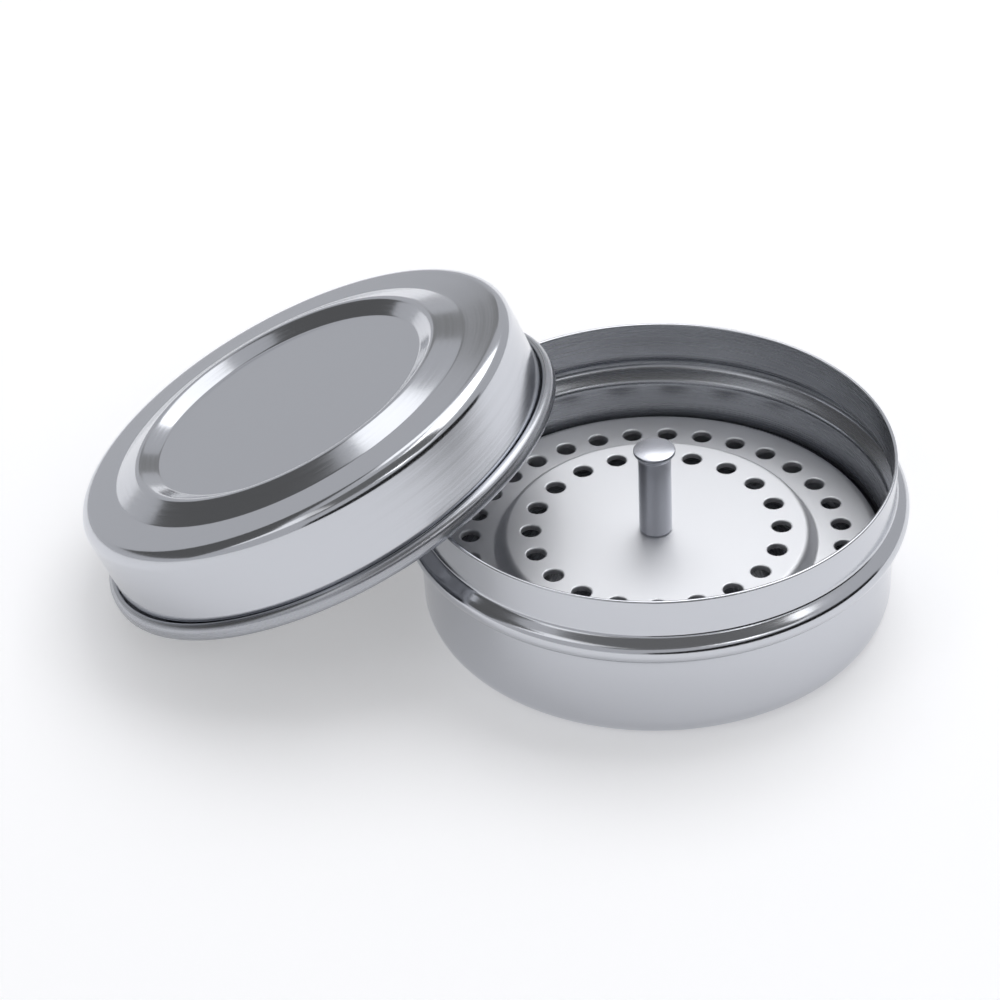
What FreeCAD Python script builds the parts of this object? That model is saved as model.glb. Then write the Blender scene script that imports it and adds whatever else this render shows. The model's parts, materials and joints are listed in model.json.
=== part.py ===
import FreeCAD, Part
import math
import os

from FreeCAD import Rotation, Vector

# A round stainless steel box for endodontic files. Files stand upright in a stepped,
# perforated plate inside the base, and the lid slides over the base's neck. Here the
# lid is off: it leans on the base's rim, mouth down, with its lowest edge on the table.
# Millimetres, +Z up. The origin is on the base's axis at its underside.

# Sheet steel
SHEET = 0.6                # base and lid
PLATE_SHEET = 1.0          # instrument plate

# Base cup, outside sizes
RIM_R = 40.0               # neck, which the lid slides over
WALL_R = 39.6              # wall below the bead
BASE_H = 28.4
FOOT_BEND = 3.8            # outside radius where the floor turns up into the wall
BEAD_R = 42.2              # crest of the pressed bead
BEAD_Z = 19.1              # height of that crest
BEAD_FLANK = 55.0          # degrees between the bead's flanks and the wall
BEAD_CREST_BEND = 2.0
BEAD_ROOT_BEND = 1.0

# Lid, outside sizes, with heights counted from its mouth
LID_CLEARANCE = 0.1        # radial gap between the neck and the skirt
SHOULDER_H = 16.4
SHOULDER_BEND = 2.4
VALLEY_R = 33.0            # outer root of the raised ring
VALLEY_H = 16.7
DISC_R = 24.8              # inner root of the raised ring
DISC_H = 16.8
RING_OUTER_FLANK = 21.0    # degrees that the ring rises from its outer root
RING_INNER_FLANK = 30.0
RING_CREST_BEND = 1.6
RING_ROOT_BEND = 1.2
CURL_WIDTH = 2.4           # rolled edge at the mouth
CURL_HEIGHT = 3.1
CURL_GAP = 0.25            # between the curl's cut edge and the skirt

# Where the lid leans
LID_DISTANCE = 56.0        # from the base's axis to the centre of the lid's mouth
LID_DIRECTION = 165.5      # degrees from +X, seen from above
REST_GAP = 0.3             # left between round edges that rest on each other
RING_STEPS = 1440          # points around the curl where its distance to the rim is taken

# Instrument plate
PLATE_CLEARANCE = 0.6      # radial gap to the base's wall
TIER_Z = 10.4              # top of the outer tier
PLATEAU_Z = 13.0           # top of the raised centre
PLATEAU_R = 25.6
STEP_RUN = 1.5             # how far the step between the tiers leans out
STEP_BEND = 1.2
PLATE_EDGE_BEND = 2.0
HOLE_R = 1.65
HOLE_BEVEL = 0.25
OUTER_RING_R = 31.6
OUTER_HOLES = 32
OUTER_FIRST_ANGLE = 3.3
INNER_RING_R = 21.1
INNER_HOLES = 20
INNER_FIRST_ANGLE = -3.6

# Lifting post and its screw
POST_R = 2.75
POST_TOP_Z = 29.6
POST_FOOT_CHAMFER = 0.3
HEAD_R = 3.5
HEAD_EDGE = 0.5            # thickness of the head at its rim
HEAD_CONE = 0.9            # height of the cone under the head
HEAD_DOME = 0.35
SCREW_R = 1.5
SCREW_CLEARANCE = 0.15     # radial, in the plate and the washer
THREAD_GAP = 0.04          # radial, in the post
SCREW_DEPTH = 6.0          # thread inside the post
SCREW_HEAD_R = 2.8
SCREW_HEAD_H = 1.6
SCREW_HEAD_BEND = 0.5
SLOT_WIDTH = 0.8
SLOT_DEPTH = 0.7
WASHER_R = 3.5
WASHER_SHEET = 0.5

AXIS = Vector(0, 0, 1)
ORIGIN = Vector(0, 0, 0)
TINY = 1e-6


def unit(start, end):
    """Direction from one (r, z) point to the next."""
    length = math.hypot(end[0] - start[0], end[1] - start[1])
    return (end[0] - start[0]) / length, (end[1] - start[1]) / length


def bent_line(corners):
    """Edges of a line in the XZ plane through corners (r, z, bend radius)."""
    edges = []
    start = Vector(corners[0][0], 0, corners[0][1])
    for before, corner, after in zip(corners, corners[1:], corners[2:]):
        back = unit(corner, before)
        onward = unit(corner, after)
        half = math.acos(back[0] * onward[0] + back[1] * onward[1]) / 2
        point = Vector(corner[0], 0, corner[1])
        reach = corner[2] / math.tan(half)
        first = point + Vector(back[0], 0, back[1]) * reach
        last = point + Vector(onward[0], 0, onward[1]) * reach
        if start.distanceToPoint(first) > TINY:
            edges.append(Part.LineSegment(start, first).toShape())
        if corner[2] > TINY:
            to_centre = ((first + last) * 0.5 - point).normalize()
            middle = point + to_centre * (corner[2] / math.sin(half) - corner[2])
            edges.append(Part.Arc(first, middle, last).toShape())
        start = last
    end = Vector(corners[-1][0], 0, corners[-1][1])
    if start.distanceToPoint(end) > TINY:
        edges.append(Part.LineSegment(start, end).toShape())
    return edges


def shifted(corners, shift):
    """The same line moved sideways, to its left for a positive shift, bends kept concentric."""
    moved = []
    for index, (r, z, bend) in enumerate(corners):
        arriving = unit(corners[max(index - 1, 0)], corners[max(index, 1)])
        leaving = unit(corners[min(index, len(corners) - 2)],
                       corners[min(index + 1, len(corners) - 1)])
        normal = (-arriving[1] - leaving[1], arriving[0] + leaving[0])
        scale = shift / (1 + arriving[0] * leaving[0] + arriving[1] * leaving[1])
        turn = arriving[0] * leaving[1] - arriving[1] * leaving[0]
        if turn:
            bend -= shift * math.copysign(1, turn)
        moved.append((r + normal[0] * scale, z + normal[1] * scale, bend))
    return moved


def sheet_ring(corners, thickness):
    """Revolve a sheet whose middle line has these corners; its last edge is rounded over."""
    left = shifted(corners, thickness / 2)
    right = shifted(corners, -thickness / 2)
    ahead = unit(corners[-2], corners[-1])
    left_end = Vector(left[-1][0], 0, left[-1][1])
    right_end = Vector(right[-1][0], 0, right[-1][1])
    nose = (left_end + right_end) * 0.5 + Vector(ahead[0], 0, ahead[1]) * (thickness / 2)
    edges = bent_line(left)
    edges.append(Part.Arc(left_end, nose, right_end).toShape())
    edges.extend(bent_line(right[::-1]))
    edges.append(Part.LineSegment(Vector(right[0][0], 0, right[0][1]),
                                  Vector(left[0][0], 0, left[0][1])).toShape())
    return Part.Face(Part.Wire(edges)).revolve(ORIGIN, AXIS, 360)


def turned(corners):
    """A solid turned from a closed outline of (r, z, bend radius) corners on the axis."""
    edges = bent_line(corners)
    edges.append(Part.LineSegment(Vector(corners[-1][0], 0, corners[-1][1]),
                                  Vector(corners[0][0], 0, corners[0][1])).toShape())
    return Part.Face(Part.Wire(edges)).revolve(ORIGIN, AXIS, 360)


def base_cup():
    """Drawn cup: flat floor, rounded foot, wall, pressed bead and plain neck."""
    half = SHEET / 2
    wall = WALL_R - half
    neck = RIM_R - half
    flank = math.radians(BEAD_FLANK)
    crest_bend = BEAD_CREST_BEND - half
    root_bend = BEAD_ROOT_BEND + half
    peak = BEAD_R - half + crest_bend * (1 / math.cos(flank) - 1)
    corners = [
        (0, half, 0),
        (wall, half, FOOT_BEND - half),
        (wall, BEAD_Z - (peak - wall) / math.tan(flank), root_bend),
        (peak, BEAD_Z, crest_bend),
        (neck, BEAD_Z + (peak - neck) / math.tan(flank), root_bend),
        (neck, BASE_H - half, 0),
    ]
    return sheet_ring(corners, SHEET)


def lid_upright():
    """Drawn lid, mouth down at height 0: disc, raised ring, shoulder, skirt, rolled edge."""
    half = SHEET / 2
    skirt = RIM_R + LID_CLEARANCE + half
    outer = math.tan(math.radians(RING_OUTER_FLANK))
    inner = math.tan(math.radians(RING_INNER_FLANK))
    crest_r = (VALLEY_R * outer + DISC_R * inner + VALLEY_H - DISC_H) / (outer + inner)
    crest_z = DISC_H + (crest_r - DISC_R) * inner
    curl_bend = (CURL_WIDTH - SHEET) / 2
    curl_r = skirt + CURL_WIDTH - SHEET
    corners = [
        (0, DISC_H - half, 0),
        (DISC_R, DISC_H - half, RING_ROOT_BEND),
        (crest_r, crest_z - half, RING_CREST_BEND - half),
        (VALLEY_R, VALLEY_H - half, RING_ROOT_BEND),
        (skirt, SHOULDER_H - half, SHOULDER_BEND - half),
        (skirt, half, curl_bend),
        (curl_r, half, curl_bend),
        (curl_r, CURL_HEIGHT - half, curl_bend),
        (skirt + SHEET + CURL_GAP, CURL_HEIGHT - half, 0),
    ]
    return sheet_ring(corners, SHEET)


def curl_gap(tilt):
    """Least distance from the tilted lid's curl to the base's rim, and the mouth's height.

    The curl and the rim are both rings of round section. The distance is between the
    circles that their sections are centred on, less the two radii.
    """
    curl_round = CURL_WIDTH / 2
    rim_round = SHEET / 2
    curl_r = RIM_R + LID_CLEARANCE + curl_round
    height = curl_r * math.sin(tilt) + curl_round * (1 - math.cos(tilt))
    gaps = []
    for step in range(RING_STEPS):
        angle = 2 * math.pi * step / RING_STEPS
        uphill = curl_r * math.cos(angle)
        out = LID_DISTANCE - uphill * math.cos(tilt) + curl_round * math.sin(tilt)
        up = height + uphill * math.sin(tilt) + curl_round * math.cos(tilt)
        from_axis = math.hypot(out, curl_r * math.sin(angle))
        gap = math.hypot(from_axis - RIM_R + rim_round, up - BASE_H + rim_round)
        fallen_in = from_axis < RIM_R and up < BASE_H
        gaps.append(-gap if fallen_in else gap - curl_round - rim_round)
    return min(gaps), height


def lid_rest():
    """Tilt in radians, found by halving, and height at which the lid leans on the rim."""
    low, high = 0.0, math.pi / 3
    while high - low > TINY:
        tilt = (low + high) / 2
        if curl_gap(tilt)[0] < REST_GAP:
            low = tilt
        else:
            high = tilt
    return high, curl_gap(high)[1]


def instrument_plate():
    """One pressed sheet: raised centre, outer tier and skirt, with two rings of holes."""
    half = PLATE_SHEET / 2
    skirt = WALL_R - SHEET - PLATE_CLEARANCE - half
    # The skirt's round lower edge stands in the curve between the base's floor and wall.
    reach = FOOT_BEND - SHEET - REST_GAP - half
    foot_z = FOOT_BEND - math.sqrt(reach ** 2 - (skirt - WALL_R + FOOT_BEND) ** 2)
    corners = [
        (SCREW_R + SCREW_CLEARANCE, PLATEAU_Z - half, 0),
        (PLATEAU_R, PLATEAU_Z - half, STEP_BEND - half),
        (PLATEAU_R + STEP_RUN, TIER_Z - half, STEP_BEND),
        (skirt, TIER_Z - half, PLATE_EDGE_BEND - half),
        (skirt, foot_z, 0),
    ]
    plate = sheet_ring(corners, PLATE_SHEET)
    drill = turned([
        (0, -2 * PLATE_SHEET, 0),
        (HOLE_R, -2 * PLATE_SHEET, 0),
        (HOLE_R, -HOLE_BEVEL, 0),
        (HOLE_R + HOLE_BEVEL, 0, 0),
        (HOLE_R + HOLE_BEVEL, PLATE_SHEET, 0),
        (0, PLATE_SHEET, 0),
    ])
    drills = hole_ring(drill, OUTER_RING_R, TIER_Z, OUTER_HOLES, OUTER_FIRST_ANGLE)
    drills += hole_ring(drill, INNER_RING_R, PLATEAU_Z, INNER_HOLES, INNER_FIRST_ANGLE)
    return plate.cut(drills)


def hole_ring(drill, radius, top, count, first_angle):
    """Copies of the drill, evenly spaced on a circle with their bevels at this height."""
    copies = []
    for index in range(count):
        angle = math.radians(first_angle + 360 * index / count)
        place = Vector(radius * math.cos(angle), radius * math.sin(angle), top)
        copies.append(drill.translated(place))
    return copies


def lifting_post():
    """Turned post with a thin domed head and a threaded hole in its foot."""
    neck_z = POST_TOP_Z - HEAD_DOME - HEAD_EDGE
    post = turned([
        (0, PLATEAU_Z, 0),
        (POST_R - POST_FOOT_CHAMFER, PLATEAU_Z, 0),
        (POST_R, PLATEAU_Z + POST_FOOT_CHAMFER, 0),
        (POST_R, neck_z - HEAD_CONE, 0),
        (HEAD_R, neck_z, 0),
        (HEAD_R, neck_z + HEAD_EDGE, 0),
        (0, neck_z + HEAD_EDGE, 0),
    ])
    dome_r = (HEAD_R ** 2 + HEAD_DOME ** 2) / (2 * HEAD_DOME)
    ball = Part.makeSphere(dome_r, Vector(0, 0, POST_TOP_Z - dome_r))
    head = Part.makeCylinder(HEAD_R, HEAD_DOME, Vector(0, 0, POST_TOP_Z - HEAD_DOME))
    hole = Part.makeCylinder(SCREW_R + THREAD_GAP, SCREW_DEPTH + 2 * THREAD_GAP,
                             Vector(0, 0, PLATEAU_Z))
    return post.fuse(head.common(ball)).removeSplitter().cut(hole)


def post_washer():
    """Flat washer between the plate and the screw head."""
    bottom = Vector(0, 0, PLATEAU_Z - PLATE_SHEET - WASHER_SHEET)
    disc = Part.makeCylinder(WASHER_R, WASHER_SHEET, bottom)
    return disc.cut(Part.makeCylinder(SCREW_R + SCREW_CLEARANCE, WASHER_SHEET, bottom))


def post_screw():
    """Slotted screw that holds the post from under the plate."""
    seat = PLATEAU_Z - PLATE_SHEET - WASHER_SHEET
    screw = turned([
        (0, seat - SCREW_HEAD_H, 0),
        (SCREW_HEAD_R, seat - SCREW_HEAD_H, SCREW_HEAD_BEND),
        (SCREW_HEAD_R, seat, 0),
        (SCREW_R, seat, 0),
        (SCREW_R, PLATEAU_Z + SCREW_DEPTH, 0),
        (0, PLATEAU_Z + SCREW_DEPTH, 0),
    ])
    slot = Part.makeBox(2 * SCREW_HEAD_R, SLOT_WIDTH, SLOT_DEPTH,
                        Vector(-SCREW_HEAD_R, -SLOT_WIDTH / 2, seat - SCREW_HEAD_H))
    return screw.cut(slot)


def leaning(shape):
    """Tilt the upright lid towards the base and stand it in its place beside it."""
    tilt, height = lid_rest()
    direction = math.radians(LID_DIRECTION)
    side = Vector(-math.sin(direction), math.cos(direction), 0)
    place = Vector(LID_DISTANCE * math.cos(direction), LID_DISTANCE * math.sin(direction), height)
    lid = shape.copy()
    lid.Placement = FreeCAD.Placement(place, Rotation(side, math.degrees(tilt)))
    lift = lid.Placement.Rotation.multVec(AXIS)
    print("lid: tilt %.3f degrees, mouth centre %.4f %.4f %.4f, axis %.6f %.6f %.6f"
          % ((math.degrees(tilt),) + tuple(place) + tuple(lift)))
    return lid


NODES = {
    "base_cup": base_cup(),
    "lid": leaning(lid_upright()),
    "instrument_plate": instrument_plate(),
    "lifting_post": lifting_post(),
    "post_washer": post_washer(),
    "post_screw": post_screw(),
}

os.makedirs("parts", exist_ok=True)
for name, shape in NODES.items():
    print("%-18s valid %s, solids %d, volume %.1f mm3"
          % (name, shape.isValid(), len(shape.Solids), shape.Volume))
    shape.exportStep("parts/%s.step" % name)
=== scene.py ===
# %% [markdown]
# # A round steel box for root canal files
# The real object is a small tin of stainless steel. Its base and its lid are each drawn from
# one disc of sheet, a stepped plate full of holes stands inside the base, and a turned post
# in the middle lifts that plate out. This lesson dresses the finished frame of the box: each
# piece is shaped again with smooth, fine curves, and then given the steel that it is made of.
#
# Everything is drawn in millimetres, as on the maker's drawing, and made metres at the end.

# %% Load the frame
import json
import math

import bmesh
import bpy
from mathutils import Matrix, Vector


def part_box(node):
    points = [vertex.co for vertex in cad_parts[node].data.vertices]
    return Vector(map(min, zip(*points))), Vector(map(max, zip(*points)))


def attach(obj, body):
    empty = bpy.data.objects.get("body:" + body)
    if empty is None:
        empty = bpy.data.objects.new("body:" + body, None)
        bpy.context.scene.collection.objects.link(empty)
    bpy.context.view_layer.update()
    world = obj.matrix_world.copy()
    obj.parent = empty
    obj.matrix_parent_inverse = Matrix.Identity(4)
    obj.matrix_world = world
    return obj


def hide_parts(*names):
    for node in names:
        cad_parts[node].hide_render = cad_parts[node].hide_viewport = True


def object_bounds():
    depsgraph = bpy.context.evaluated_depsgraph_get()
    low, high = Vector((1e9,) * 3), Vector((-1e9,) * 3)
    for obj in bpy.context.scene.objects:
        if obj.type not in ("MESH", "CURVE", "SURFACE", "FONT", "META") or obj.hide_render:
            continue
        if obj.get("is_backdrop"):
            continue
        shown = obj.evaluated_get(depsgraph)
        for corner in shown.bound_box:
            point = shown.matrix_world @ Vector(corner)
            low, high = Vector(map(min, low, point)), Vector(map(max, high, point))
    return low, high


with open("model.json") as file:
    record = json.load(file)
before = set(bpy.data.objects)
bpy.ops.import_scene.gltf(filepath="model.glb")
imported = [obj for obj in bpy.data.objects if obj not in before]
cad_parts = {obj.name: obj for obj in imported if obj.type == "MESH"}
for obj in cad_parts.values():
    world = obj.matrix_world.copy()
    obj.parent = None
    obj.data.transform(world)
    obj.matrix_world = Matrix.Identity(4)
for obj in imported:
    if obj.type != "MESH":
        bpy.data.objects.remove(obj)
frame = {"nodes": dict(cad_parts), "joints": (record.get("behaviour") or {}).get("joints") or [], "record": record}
CAD_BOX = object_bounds()
MM = 0.001
record = frame["record"]
mounts = {mount["name"]: mount for mount in record["mounts"]}
joints = {joint["name"]: joint for joint in frame["joints"]}
print("nodes:", ", ".join(sorted(frame["nodes"])))
print("size in mm:", [round(x / MM, 1) for x in CAD_BOX[1] - CAD_BOX[0]])

# %% [markdown]
# ## Drawing a line the way a sheet is bent
# A drawn cup is one line turned about an axis. The line is straight runs joined by round
# bends, so it is drawn as a walk: a vertex is extruded along a run, then spun about the
# centre of the bend, then extruded again. A curve object could draw it too, but a spun
# vertex gives true arcs of the radius that the drawing names.
#
# Long runs get an extra point close to each end. On polished metal the shading of a flat
# face would otherwise lean towards the bend beside it and bend the reflections.

# %% A line of runs and bends
GUARD = 0.25               # mm from the end of a long run to its extra point
BEND_STEP = math.radians(7.5)


def run_to(bm, tip, target):
    """Extrude the tip straight to the target, with guard points near both ends of a long run."""
    start = tip.co.copy()
    stops = [target]
    if (target - start).length > 4 * GUARD:
        ahead = (target - start).normalized() * GUARD
        stops = [start + ahead, target - ahead, target]
    for stop in stops:
        tip = bmesh.ops.extrude_vert_indiv(bm, verts=[tip])["verts"][0]
        tip.co = stop
    return tip


def bend_to(bm, tip, centre, turn):
    """Spin the tip about the bend's centre. Seen from the front, a positive turn is leftwards."""
    steps = max(3, math.ceil(abs(turn) / BEND_STEP))
    spun = bmesh.ops.spin(bm, geom=[tip], cent=centre, axis=(0, 1, 0), dvec=(0, 0, 0),
                          angle=-turn, steps=steps, use_merge=False, use_duplicate=False)
    return next(item for item in spun["geom_last"] if isinstance(item, bmesh.types.BMVert))


def bent_line(bm, corners):
    """Draw a line through corners (radius, height, bend radius) in the XZ plane."""
    points = [Vector((r, 0, z)) for r, z, bend in corners]
    tip = bm.verts.new(points[0])
    for index in range(1, len(points) - 1):
        back = (points[index - 1] - points[index]).normalized()
        onward = (points[index + 1] - points[index]).normalized()
        half = back.angle(onward) / 2
        bend = corners[index][2]
        tip = run_to(bm, tip, points[index] + back * bend / math.tan(half))
        side = math.copysign(1, onward.x * back.z - onward.z * back.x)
        centre = points[index] + (back + onward).normalized() * bend / math.sin(half)
        tip = bend_to(bm, tip, centre, side * (math.pi - 2 * half))
    return run_to(bm, tip, points[-1])


print("bends have a vertex every", math.degrees(BEND_STEP), "degrees")

# %% [markdown]
# ## Turning the line into sheet metal
# A lathe or a press gives the same round shape, so one spin about the upright axis makes the
# outer skin. The spin can leave the skin inside out, so its doubles are merged and its faces
# pointed outwards first. Only then does solidify give it the thickness of the sheet. Last,
# the sharp cut edge is bevelled round, because nobody leaves a raw edge on a tin that is
# picked up with gloves on.

# %% From a line to a sheet
ROUND_STEPS = 320          # both rings of holes divide it evenly: 32 and 20
SAME_PLACE = 0.001         # mm, points nearer than this are one


def turn(bm):
    """Spin everything in the mesh once round the Z axis and point the skin outwards."""
    bmesh.ops.spin(bm, geom=bm.verts[:] + bm.edges[:], cent=(0, 0, 0), axis=(0, 0, 1),
                   dvec=(0, 0, 0), angle=2 * math.pi, steps=ROUND_STEPS,
                   use_merge=True, use_duplicate=False)
    bmesh.ops.remove_doubles(bm, verts=bm.verts[:], dist=SAME_PLACE)
    bmesh.ops.recalc_face_normals(bm, faces=bm.faces[:])


def sharp_edges(bm, least=60):
    """Edges where two faces meet at more than this many degrees."""
    return [edge for edge in bm.edges
            if len(edge.link_faces) == 2 and edge.calc_face_angle() > math.radians(least)]


def round_over(bm, edges, size, segments=3):
    """Bevel these edges with a round of this size."""
    bmesh.ops.bevel(bm, geom=edges, offset=size, offset_type="OFFSET", affect="EDGES",
                    segments=segments, profile=0.5, material=-1, clamp_overlap=True)


def turned_sheet(corners, thickness):
    """A turned sheet whose outer face follows these corners. Its inner face gets material 1."""
    bm = bmesh.new()
    bent_line(bm, corners)
    turn(bm)
    outside = set(bm.faces)
    bmesh.ops.solidify(bm, geom=bm.faces[:], thickness=thickness)
    cut_edges = set(sharp_edges(bm))
    for face in bm.faces:
        if face not in outside and len(cut_edges.intersection(face.edges)) < 2:
            face.material_index = 1
    round_over(bm, list(cut_edges), thickness * 0.45)
    return bm


def finished(bm, name, body, node, place=Matrix.Identity(4), crease=35):
    """Make an object from the mesh, in metres and in its place, riding on its body."""
    bmesh.ops.transform(bm, matrix=place @ Matrix.Scale(MM, 4), verts=bm.verts[:])
    loose = sum(1 for edge in bm.edges if not edge.is_manifold)
    volume = bm.calc_volume(signed=True) / MM ** 3
    mesh = bpy.data.meshes.new(name)
    bm.to_mesh(mesh)
    bm.free()
    mesh.shade_smooth()
    mesh.set_sharp_from_angle(angle=math.radians(crease))
    piece = bpy.data.objects.new(name, mesh)
    bpy.context.scene.collection.objects.link(piece)
    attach(piece, body)
    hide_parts(node)
    print(f"{name}: {len(mesh.polygons)} faces, {volume:.0f} mm3, {loose} open edges")
    return piece


# %% [markdown]
# ## The base
# The base is a drawn cup. Its floor turns up into the wall through a foot bend, one bead is
# pressed out of the wall below the rim, and the plain neck above the bead is what the lid
# slides over. The bead stiffens the thin wall, and the lid comes to rest on it.

# %% The base cup
SHEET = 0.6
RIM_R = 40.0               # neck
WALL_R = 39.6              # wall under the bead
FOOT_BEND = 3.8
BEAD_Z = 19.1
BEAD_FLANK = math.radians(55)
BEAD_CREST_BEND = 2.0
BEAD_ROOT_BEND = 1.0
base_low, base_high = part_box("base_cup")
BASE_H = base_high.z / MM
BEAD_R = (base_high.x - base_low.x) / 2 / MM


def base_line():
    """Outside of the base, from the middle of its floor to its rim."""
    peak = BEAD_R + BEAD_CREST_BEND * (1 / math.cos(BEAD_FLANK) - 1)
    lower_root = BEAD_Z - (peak - WALL_R) / math.tan(BEAD_FLANK)
    upper_root = BEAD_Z + (peak - RIM_R) / math.tan(BEAD_FLANK)
    return [
        (0, 0, 0),
        (WALL_R, 0, FOOT_BEND),
        (WALL_R, lower_root, BEAD_ROOT_BEND),
        (peak, BEAD_Z, BEAD_CREST_BEND),
        (RIM_R, upper_root, BEAD_ROOT_BEND),
        (RIM_R, BASE_H, 0),
    ]


base = finished(turned_sheet(base_line(), SHEET), "drawn_base", "base", "base_cup")

# %% [markdown]
# ## The lid
# The lid is drawn like the base. A raised ring round a flat disc stiffens its top, and the
# mouth is rolled outwards into a curl, so that the edge is round to the touch. It leans on
# the base, so it is first made upright with its mouth at height 0 and then put in its place.
# The frame gives that place: the joint that lifts the lid runs along its axis, and the middle
# of the lid is halfway between its furthest points on each side of that axis.

# %% The lid upright
LID_CLEARANCE = 0.1        # between the neck and the skirt
SHOULDER_H = 16.4
SHOULDER_BEND = 2.4
VALLEY_R = 33.0            # outer root of the raised ring
VALLEY_H = 16.7
DISC_R = 24.8              # inner root of the raised ring
DISC_H = 16.8
RING_OUTER_FLANK = math.radians(21)
RING_INNER_FLANK = math.radians(30)
RING_CREST_BEND = 1.6
RING_ROOT_BEND = 1.2
CURL_WIDTH = 2.4
CURL_HEIGHT = 3.1
CURL_GAP = 0.25            # between the curl's cut edge and the skirt


def lid_line():
    """Outside of the upright lid, from the middle of its disc to the end of its curl."""
    skirt = RIM_R + LID_CLEARANCE + SHEET
    outer = math.tan(RING_OUTER_FLANK)
    inner = math.tan(RING_INNER_FLANK)
    crest_r = (VALLEY_R * outer + DISC_R * inner + VALLEY_H - DISC_H) / (outer + inner)
    crest_h = DISC_H + (crest_r - DISC_R) * inner
    inner_bend = CURL_WIDTH / 2 - SHEET
    curl_r = skirt - SHEET + CURL_WIDTH
    return [
        (0, DISC_H, 0),
        (DISC_R, DISC_H, RING_ROOT_BEND),
        (crest_r, crest_h, RING_CREST_BEND),
        (VALLEY_R, VALLEY_H, RING_ROOT_BEND),
        (skirt, SHOULDER_H, SHOULDER_BEND),
        (skirt, SHEET, inner_bend),
        (curl_r - SHEET, SHEET, inner_bend),
        (curl_r - SHEET, CURL_HEIGHT - SHEET, inner_bend),
        (skirt + CURL_GAP, CURL_HEIGHT - SHEET, 0),
    ]


lid_mesh = turned_sheet(lid_line(), SHEET)
print("upright lid:", len(lid_mesh.faces), "faces")

# %% [markdown]
# The lid's middle is measured on the frame's own lid. Its points are compared along the axis
# and along two directions square to it, and the least and greatest of each give the place.

# %% The lid in its place


def leaning_place(node, axis):
    """Matrix that carries an upright turned piece to where this node leans."""
    lean = axis.normalized()
    across = Vector((-lean.y, lean.x, 0)).normalized()
    uphill = across.cross(lean)
    points = [vertex.co for vertex in frame["nodes"][node].data.vertices]
    place = Vector()
    for direction in (across, uphill):
        reach = [point.dot(direction) for point in points]
        place += direction * (min(reach) + max(reach)) / 2
    place += lean * min(point.dot(lean) for point in points)
    return Matrix.LocRotScale(place, lean.to_track_quat("Z", "Y"), None)


LID_PLACE = leaning_place("lid", Vector(joints["lid_lift"]["axis"]))
lid = finished(lid_mesh, "drawn_lid", "lid", "lid", LID_PLACE)

# %% [markdown]
# ## The instrument plate
# The plate is one pressed sheet. Its raised centre and its outer tier are flat, a slanting
# step joins them, and the edge is turned down into a skirt that stands on the base's floor.
# Files stand in two rings of punched holes.
#
# A boolean could punch the holes, but it leaves ragged faces round them. Here the step and
# the edge are turned as rings, each hole starts as a circle, and triangle_fill closes the
# flat between the rings and the circles. Solidify then gives the holes their walls, and a
# bevel breaks the edge that a file would catch on.

# %% The perforated plate
PLATE_SHEET = 1.0
PLATE_CLEARANCE = 0.6      # to the base's wall
TIER_Z = 10.4
PLATEAU_Z = 13.0
PLATEAU_R = 25.6
STEP_RUN = 1.5             # how far the step leans out
STEP_BEND = 1.2
PLATE_EDGE_BEND = 2.0
HOLE_STEPS = 32
HOLE_BEVEL = 0.25
FLAT_BORDER = 1.0          # plain flat beside each bend
FOOT_SHORTFALL = 0.3       # how far above the frame's foot this skirt ends
OUTER_FIRST_ANGLE = 3.3    # degrees
INNER_FIRST_ANGLE = -3.6
SCREW_HOLE_R = 1.65
PLATE_FOOT_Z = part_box("instrument_plate")[0].z / MM


def circle(bm, radius, x, y, z):
    """A bare circle of edges, flat, with its centre here."""
    bmesh.ops.create_circle(bm, cap_ends=False, segments=HOLE_STEPS, radius=radius,
                            matrix=Matrix.Translation((x, y, z)))


def hole_ring(bm, mount, first_angle, top):
    """Circles where the record's ring of file holes has its holes."""
    dims = mounts[mount]["dims"]
    for index in range(int(dims["count"])):
        angle = math.radians(first_angle + 360 * index / dims["count"])
        reach = dims["pcd_mm"] / 2
        circle(bm, dims["hole_r_mm"], reach * math.cos(angle), reach * math.sin(angle), top)


def fill_flat(bm, height):
    """Close the flat at this height, round its holes, out of the open edges there."""
    edges = [edge for edge in bm.edges if len(edge.link_faces) < 2
             and all(abs(vert.co.z - height) < SAME_PLACE for vert in edge.verts)]
    bmesh.ops.triangle_fill(bm, edges=edges, use_beauty=True, normal=(0, 0, 1))


def plate_skin():
    """Upper face of the plate, with the circles of its holes left open."""
    bm = bmesh.new()
    skirt = WALL_R - SHEET - PLATE_CLEARANCE
    bent_line(bm, [
        (PLATEAU_R - FLAT_BORDER, PLATEAU_Z, 0),
        (PLATEAU_R, PLATEAU_Z, STEP_BEND),
        (PLATEAU_R + STEP_RUN, TIER_Z, STEP_BEND - PLATE_SHEET / 2),
        (PLATEAU_R + STEP_RUN + FLAT_BORDER, TIER_Z, 0),
    ])
    bent_line(bm, [
        (skirt - PLATE_EDGE_BEND - FLAT_BORDER, TIER_Z, 0),
        (skirt, TIER_Z, PLATE_EDGE_BEND),
        (skirt, PLATE_FOOT_Z + FOOT_SHORTFALL, 0),
    ])
    turn(bm)
    circle(bm, SCREW_HOLE_R, 0, 0, PLATEAU_Z)
    hole_ring(bm, "inner_file_holes", INNER_FIRST_ANGLE, PLATEAU_Z)
    hole_ring(bm, "outer_file_holes", OUTER_FIRST_ANGLE, TIER_Z)
    fill_flat(bm, PLATEAU_Z)
    fill_flat(bm, TIER_Z)
    bmesh.ops.recalc_face_normals(bm, faces=bm.faces[:])
    return bm


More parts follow.
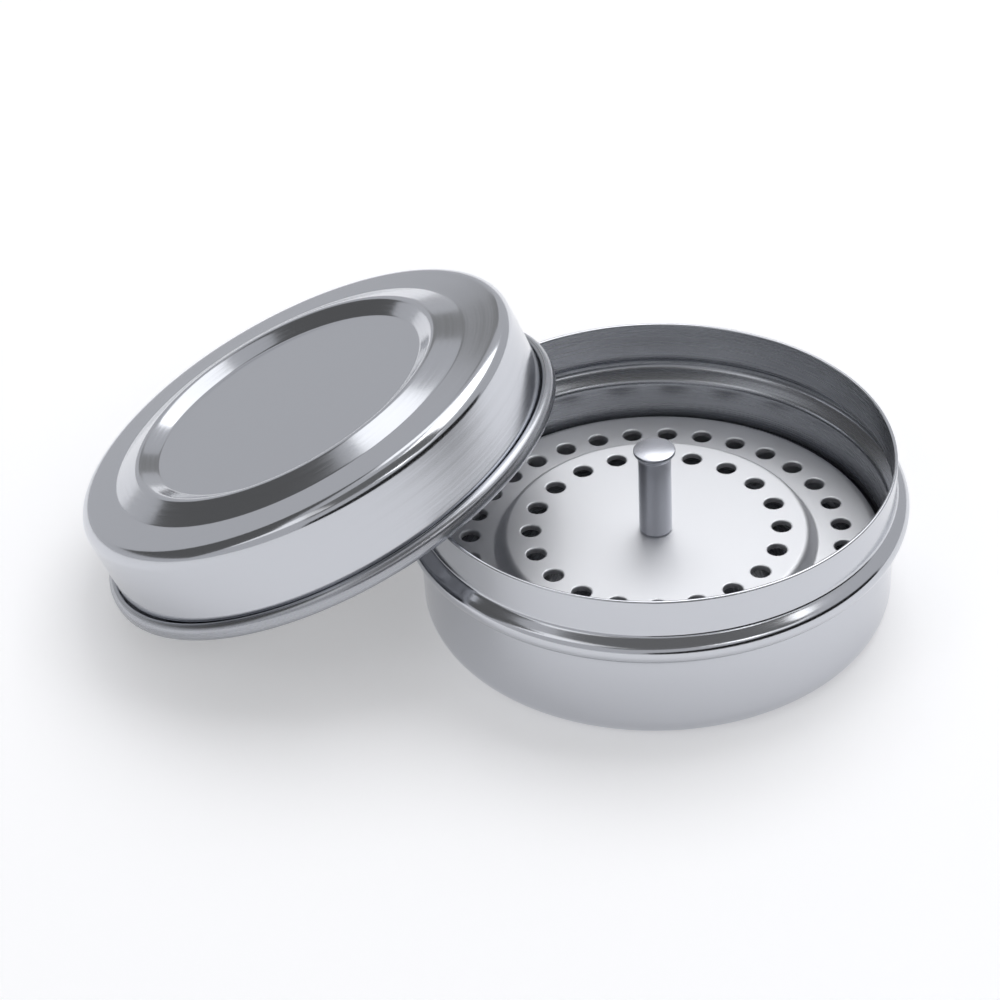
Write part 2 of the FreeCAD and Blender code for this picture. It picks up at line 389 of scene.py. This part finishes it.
def perforated_plate():
    """The plate with its thickness and its bevelled holes."""
    bm = plate_skin()
    bmesh.ops.solidify(bm, geom=bm.faces[:], thickness=PLATE_SHEET)
    mouths = [edge for edge in sharp_edges(bm)
              if all(min(abs(vert.co.z - z) for z in (PLATEAU_Z, TIER_Z)) < SAME_PLACE
                     for vert in edge.verts)]
    round_over(bm, mouths, HOLE_BEVEL, segments=2)
    return bm


plate = finished(perforated_plate(), "pressed_plate", "insert", "instrument_plate",
                 crease=15)

# %% [markdown]
# ## The lifting post
# The post is turned from bar on a lathe. It has a thin head that fingers or tweezers can
# get under, with a cone below it and a slightly domed top. Its outline is closed on the
# axis, so one spin makes a solid with no wall to add, and its small edges have their own
# tiny bends in the line, as a turned piece is always broken a little with a file.

# %% The lifting post
POST_R = 2.75
HEAD_R = 3.5
HEAD_EDGE = 0.5
HEAD_CONE = 0.9
HEAD_DOME = 0.35
FOOT_CHAMFER = 0.3
BROKEN_EDGE = 0.12
POST_TOP_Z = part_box("lifting_post")[1].z / MM


def turned_post():
    """The post from its foot on the plate to the top of its domed head."""
    bm = bmesh.new()
    rim_z = POST_TOP_Z - HEAD_DOME
    dome_r = (HEAD_R ** 2 + HEAD_DOME ** 2) / (2 * HEAD_DOME)
    tip = bent_line(bm, [
        (0, PLATEAU_Z, 0),
        (POST_R - FOOT_CHAMFER, PLATEAU_Z, BROKEN_EDGE),
        (POST_R, PLATEAU_Z + FOOT_CHAMFER, BROKEN_EDGE),
        (POST_R, rim_z - HEAD_EDGE - HEAD_CONE, BROKEN_EDGE * 3),
        (HEAD_R, rim_z - HEAD_EDGE, BROKEN_EDGE),
        (HEAD_R, rim_z, 0),
    ])
    bend_to(bm, tip, Vector((0, 0, POST_TOP_Z - dome_r)), math.asin(HEAD_R / dome_r))
    turn(bm)
    round_over(bm, sharp_edges(bm, 40), BROKEN_EDGE)
    return bm


post = finished(turned_post(), "turned_post", "insert", "lifting_post")

# %% [markdown]
# ## Colours and nodes
# Paint charts and screens give colours as sRGB hex values, but light is added up in linear
# values, so one function turns the first into the second. Another adds a node: what is named
# in capitals and plain words goes to its inputs, and a socket given there is linked.

# %% Two helpers for materials


def linear(hex_colour):
    """An sRGB hex colour as linear red, green, blue and alpha."""
    parts = [int(hex_colour[place:place + 2], 16) / 255 for place in (0, 2, 4)]
    return [part / 12.92 if part <= 0.04045 else ((part + 0.055) / 1.055) ** 2.4
            for part in parts] + [1.0]


def add_node(tree, kind, inputs=None, **settings):
    """Add a node with its settings, and give its inputs a value or a link each."""
    node = tree.nodes.new(kind)
    for name, value in settings.items():
        setattr(node, name, value)
    for name, value in (inputs or {}).items():
        if isinstance(value, bpy.types.NodeSocket):
            tree.links.new(value, node.inputs[name])
        else:
            node.inputs[name].default_value = value
    return node


def new_material(name):
    """An empty node material and its output node."""
    material = bpy.data.materials.new(name)
    material.use_nodes = True
    material.node_tree.nodes.clear()
    output = add_node(material.node_tree, "ShaderNodeOutputMaterial")
    return material, material.node_tree, output


print("mid grey C0C0C0 is", round(linear("C0C0C0")[0], 3), "in linear light")

# %% [markdown]
# ## Polished stainless steel
# The base and the lid are stainless sheet, drawn and then buffed bright while they spin. The
# surface mirrors what stands round it, slightly softened by the buffing, and the fine lines
# of the buff run round the axis. The steel is a little cool in colour. The buff hardly gets
# inside, where the walls keep the duller, rougher surface of the drawing press. The inside
# is also given a darker steel colour, which is painted shade inside the base and under the lid.
#
# The lines are a noise that depends on the radius and the height but hardly on the angle, so
# it is stretched into rings. A Mapping node first brings the leaning lid upright, so that its
# rings are round its own axis.

# %% Polished sheet steel
BUFF_LINE = 0.35           # mm between buffing lines, coarser than life so that they show
SHEET_WAVE = 14.0          # mm from crest to crest of the sheet's slow waves
WAVE_DEPTH = 0.05          # mm
BUFF_DEPTH = 0.002         # mm


def sheet_steel(name, place, colour, smoothest, roughest):
    """Stainless sheet, with lines round the axis of the piece at this place."""
    material, tree, output = new_material(name)
    upright = place.inverted()
    coords = add_node(tree, "ShaderNodeTexCoord")
    local = add_node(tree, "ShaderNodeMapping", {
        "Vector": coords.outputs["Object"],
        "Location": upright.to_translation(),
        "Rotation": upright.to_euler(),
    })
    xyz = add_node(tree, "ShaderNodeSeparateXYZ", {"Vector": local.outputs["Vector"]})
    flat = add_node(tree, "ShaderNodeCombineXYZ",
                    {"X": xyz.outputs["X"], "Y": xyz.outputs["Y"]})
    radius = add_node(tree, "ShaderNodeVectorMath", {0: flat.outputs["Vector"]},
                      operation="LENGTH")
    rings = add_node(tree, "ShaderNodeCombineXYZ",
                     {"X": radius.outputs["Value"], "Z": xyz.outputs["Z"]})
    lines = add_node(tree, "ShaderNodeTexNoise", {
        "Vector": rings.outputs["Vector"],
        "Scale": 1 / (BUFF_LINE * MM),
        "Detail": 3.0,
    })
    waves = add_node(tree, "ShaderNodeTexNoise", {
        "Vector": coords.outputs["Object"],
        "Scale": 1 / (SHEET_WAVE * MM),
        "Detail": 1.0,
    })
    roughness = add_node(tree, "ShaderNodeMapRange", {
        "Value": lines.outputs["Fac"],
        "From Min": 0.3,
        "From Max": 0.7,
        "To Min": smoothest,
        "To Max": roughest,
    })
    slow = add_node(tree, "ShaderNodeBump", {
        "Height": waves.outputs["Fac"],
        "Distance": WAVE_DEPTH * MM,
        "Strength": 0.6,
    })
    fine = add_node(tree, "ShaderNodeBump", {
        "Height": lines.outputs["Fac"],
        "Distance": BUFF_DEPTH * MM,
        "Strength": 0.3,
        "Normal": slow.outputs["Normal"],
    })
    steel = add_node(tree, "ShaderNodeBsdfPrincipled", {
        "Base Color": linear(colour),
        "Metallic": 1.0,
        "Roughness": roughness.outputs["Result"],
        "Normal": fine.outputs["Normal"],
    })
    tree.links.new(steel.outputs["BSDF"], output.inputs["Surface"])
    return material


for piece, place in ((base, Matrix.Identity(4)), (lid, LID_PLACE)):
    outer = sheet_steel("polished_steel_" + piece.name, place, "C8CACF", 0.11, 0.17)
    # The darker colour of the inside steel is painted shade inside the cup and under the lid; its higher roughness
    # is the press finish.
    inner = sheet_steel("drawn_steel_painted_shade_" + piece.name, place, "ADAFB4", 0.23, 0.31)
    piece.data.materials.append(outer)
    piece.data.materials.append(inner)
    print(piece.name, "is", outer.name, "outside and", inner.name, "inside")

# %% [markdown]
# ## Satin stainless steel
# The plate is bead blasted, so that it doesn't dazzle while someone picks a file. The tiny
# dents scatter the light, and the plate looks almost white and even from every side.

# %% Satin plate steel
GRAIN = 0.22               # mm between the dents, drawn larger than life
DENT_DEPTH = 0.02          # mm


def satin_steel():
    """Bead-blasted stainless sheet."""
    material, tree, output = new_material("satin_steel")
    coords = add_node(tree, "ShaderNodeTexCoord")
    grain = add_node(tree, "ShaderNodeTexNoise", {
        "Vector": coords.outputs["Object"],
        "Scale": 1 / (GRAIN * MM),
        "Detail": 2.0,
    })
    dents = add_node(tree, "ShaderNodeBump", {
        "Height": grain.outputs["Fac"],
        "Distance": DENT_DEPTH * MM,
        "Strength": 0.4,
    })
    steel = add_node(tree, "ShaderNodeBsdfPrincipled", {
        "Base Color": linear("E6E7EA"),
        "Metallic": 1.0,
        "Roughness": 0.55,
        "Normal": dents.outputs["Normal"],
    })
    tree.links.new(steel.outputs["BSDF"], output.inputs["Surface"])
    return material


plate.data.materials.append(satin_steel())
print("satin:", plate.name)

# %% [markdown]
# ## Turned stainless steel
# The post, its washer and its screw are turned. The tool leaves a fine thread of lines up
# the shaft, which a noise that changes only with height and radius draws again.

# %% Turned steel
TOOL_LINE = 0.18           # mm of feed per turn
TOOL_DEPTH = 0.01          # mm


def turned_steel():
    """Turned stainless bar, with the tool's lines round the upright axis."""
    material, tree, output = new_material("turned_steel")
    coords = add_node(tree, "ShaderNodeTexCoord")
    xyz = add_node(tree, "ShaderNodeSeparateXYZ", {"Vector": coords.outputs["Object"]})
    flat = add_node(tree, "ShaderNodeCombineXYZ",
                    {"X": xyz.outputs["X"], "Y": xyz.outputs["Y"]})
    radius = add_node(tree, "ShaderNodeVectorMath", {0: flat.outputs["Vector"]},
                      operation="LENGTH")
    rings = add_node(tree, "ShaderNodeCombineXYZ",
                     {"X": radius.outputs["Value"], "Z": xyz.outputs["Z"]})
    lines = add_node(tree, "ShaderNodeTexNoise", {
        "Vector": rings.outputs["Vector"],
        "Scale": 1 / (TOOL_LINE * MM),
        "Detail": 2.0,
    })
    cut = add_node(tree, "ShaderNodeBump", {
        "Height": lines.outputs["Fac"],
        "Distance": TOOL_DEPTH * MM,
        "Strength": 0.5,
    })
    steel = add_node(tree, "ShaderNodeBsdfPrincipled", {
        "Base Color": linear("BDBFC6"),
        "Metallic": 1.0,
        "Roughness": 0.26,
        "Normal": cut.outputs["Normal"],
    })
    tree.links.new(steel.outputs["BSDF"], output.inputs["Surface"])
    return material


turned = turned_steel()
post.data.materials.append(turned)
for node in ("post_washer", "post_screw"):
    frame["nodes"][node].data.materials.clear()
    frame["nodes"][node].data.materials.append(turned)
print("turned:", post.name, "and the hidden washer and screw")

# %% [markdown]
# ## The table
# Bright metal shows the room, so the table matters as much as the steel. It is a pale sheet
# that the camera and the metal see as white, while it still takes the box's soft shadow.

# %% The pale floor
TABLE_HALF = 2.4           # m
TABLE_GLOW = 0.32          # added to what the lamps give, so that the pale table reads as white


def pale_floor():
    """A wide pale table under the box."""
    bm = bmesh.new()
    bmesh.ops.create_grid(bm, x_segments=1, y_segments=1, size=TABLE_HALF)
    mesh = bpy.data.meshes.new("table")
    bm.to_mesh(mesh)
    bm.free()
    table = bpy.data.objects.new("table", mesh)
    bpy.context.scene.collection.objects.link(table)
    table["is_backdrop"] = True
    material, tree, output = new_material("pale_table")
    matt = add_node(tree, "ShaderNodeBsdfDiffuse", {"Color": linear("EEEEF0")})
    path = add_node(tree, "ShaderNodeLightPath")
    seen = add_node(tree, "ShaderNodeMath", {
        0: path.outputs["Is Camera Ray"],
        1: path.outputs["Is Glossy Ray"],
    }, operation="MAXIMUM")
    seen = add_node(tree, "ShaderNodeMath", {
        0: seen.outputs["Value"],
        1: path.outputs["Is Transmission Ray"],
    }, operation="MAXIMUM")
    glow = add_node(tree, "ShaderNodeMath", {0: seen.outputs["Value"], 1: TABLE_GLOW},
                    operation="MULTIPLY")
    light = add_node(tree, "ShaderNodeEmission", {"Strength": glow.outputs["Value"]})
    both = add_node(tree, "ShaderNodeAddShader",
                    {0: matt.outputs["BSDF"], 1: light.outputs["Emission"]})
    tree.links.new(both.outputs["Shader"], output.inputs["Surface"])
    mesh.materials.append(material)
    return table


table = pale_floor()
print("table:", [round(x, 1) for x in table.dimensions], "m")

# %% [markdown]
# ## Lamps and cards
# A product photographer lights bright metal with large soft lamps, and hangs grey and black
# cards between them, because a mirror needs something dark to show its shape. Lamps and
# cards stand round the box like the pieces of a tent. Each is given by where it is seen from
# the box, how wide and high it looks, and how bright it is, where 1 is white paper. A lamp
# adds its light to that of the grey room behind it, and a card hides the room. The largest
# softbox hangs high at the right. A small one at the back draws the bright crescents on the
# lid's ring.
#
# Most of the places below were found by comparing the steel's tones with the photograph's,
# and were then rounded. The two small pieces at the back stand in directions that the lid's
# ring and shoulder reflect, and their strength was set one by one.

# %% The studio
BOX_MIDDLE = Vector((-0.02, 0.0, 0.02))
TENT_R = 1.3               # m from the box to the lamps
CARD_R = 1.2               # the cards hang a little nearer


def in_tent(item, azimuth, elevation, distance):
    """Hang this round the box. Azimuth is in degrees to the right of straight behind the box."""
    around = math.radians(azimuth)
    above = math.radians(elevation)
    way = Vector((math.sin(around) * math.cos(above), math.cos(around) * math.cos(above),
                  math.sin(above)))
    item.location = BOX_MIDDLE + way * distance
    item.rotation_euler = way.to_track_quat("Z", "Y").to_euler()
    item.visible_camera = False
    bpy.context.scene.collection.objects.link(item)


def look_size(distance, width, height):
    """Real width and height of what looks this many degrees wide and high."""
    return [2 * distance * math.tan(math.radians(angle) / 2) for angle in (width, height)]


def soft_lamp(name, azimuth, elevation, width, height, brightness):
    """A soft lamp, given as the tent's pieces are."""
    lamp = bpy.data.lights.new(name, "AREA")
    lamp.shape = "RECTANGLE"
    lamp.size, lamp.size_y = look_size(TENT_R, width, height)
    lamp.energy = brightness * math.pi * lamp.size * lamp.size_y
    in_tent(bpy.data.objects.new(name, lamp), azimuth, elevation, TENT_R)


def card(name, azimuth, elevation, width, height, brightness):
    """A plain card, given as the tent's pieces are."""
    wide, high = look_size(CARD_R, width, height)
    bm = bmesh.new()
    bmesh.ops.create_grid(bm, x_segments=1, y_segments=1, size=0.5,
                          matrix=Matrix.Diagonal((wide, high, 1, 1)))
    mesh = bpy.data.meshes.new(name)
    bm.to_mesh(mesh)
    bm.free()
    material, tree, output = new_material(name)
    tone = add_node(tree, "ShaderNodeEmission", {"Strength": brightness})
    tree.links.new(tone.outputs["Emission"], output.inputs["Surface"])
    mesh.materials.append(material)
    sheet = bpy.data.objects.new(name, mesh)
    in_tent(sheet, azimuth, elevation, CARD_R)
    sheet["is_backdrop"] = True


soft_lamp("high_softbox", 85, 70, 90, 40, 2.0)
soft_lamp("front_softbox", -175, 60, 105, 26, 0.7)
soft_lamp("back_softbox", -15, 56, 26, 22, 1.1)
card("black_card_right", 134, 11, 105, 24, 0.02)
card("grey_card_top", 160, 66, 70, 44, 0.18)
card("grey_card_left", -75, 34, 62, 42, 0.13)
card("grey_card_back", -10, 20, 18, 14, 0.3)

world = bpy.data.worlds.new("studio")
bpy.context.scene.world = world
world.use_nodes = True
world.node_tree.nodes.clear()
room = add_node(world.node_tree, "ShaderNodeBackground",
                {"Color": linear("C8C9CC"), "Strength": 1.0})
add_node(world.node_tree, "ShaderNodeOutputWorld", {"Surface": room.outputs["Background"]})
bpy.context.scene.view_settings.view_transform = "Standard"

# %% [markdown]
# ## The camera
# The box is seen from the front, about 36 degrees above the table, through a long lens. The
# picture leans a little, so the camera is rolled about its own axis.

# %% Camera
ELEVATION = math.radians(35.96)
ROLL = math.radians(-3.27)
DISTANCE = 0.49597
AIM = Vector((-0.02592, 0.0, 0.02072))
LENS = 106.99

camera = bpy.data.cameras.new("camera")
camera.sensor_width = 36.0
camera.lens = LENS
camera.clip_start = 0.01
back = Vector((0, -math.cos(ELEVATION), math.sin(ELEVATION)))
tripod = bpy.data.objects.new("camera", camera)
tripod.matrix_world = (Matrix.Translation(AIM + back * DISTANCE)
                       @ Matrix.Rotation(math.pi / 2 - ELEVATION, 4, "X")
                       @ Matrix.Rotation(ROLL, 4, "Z"))
bpy.context.scene.collection.objects.link(tripod)
bpy.context.scene.camera = tripod
print("camera at", [round(x, 3) for x in tripod.location])

# %% [markdown]
# ## The size
# The box round the dressed pieces and the box of the frame are both printed. The
# dressed box has to stay inside the box of the frame.

# %% Print both sizes
LOOKS_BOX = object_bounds()
for name, corners in (("frame", CAD_BOX), ("looks", LOOKS_BOX)):
    print(name, [[round(x / MM, 2) for x in corner] for corner in corners])
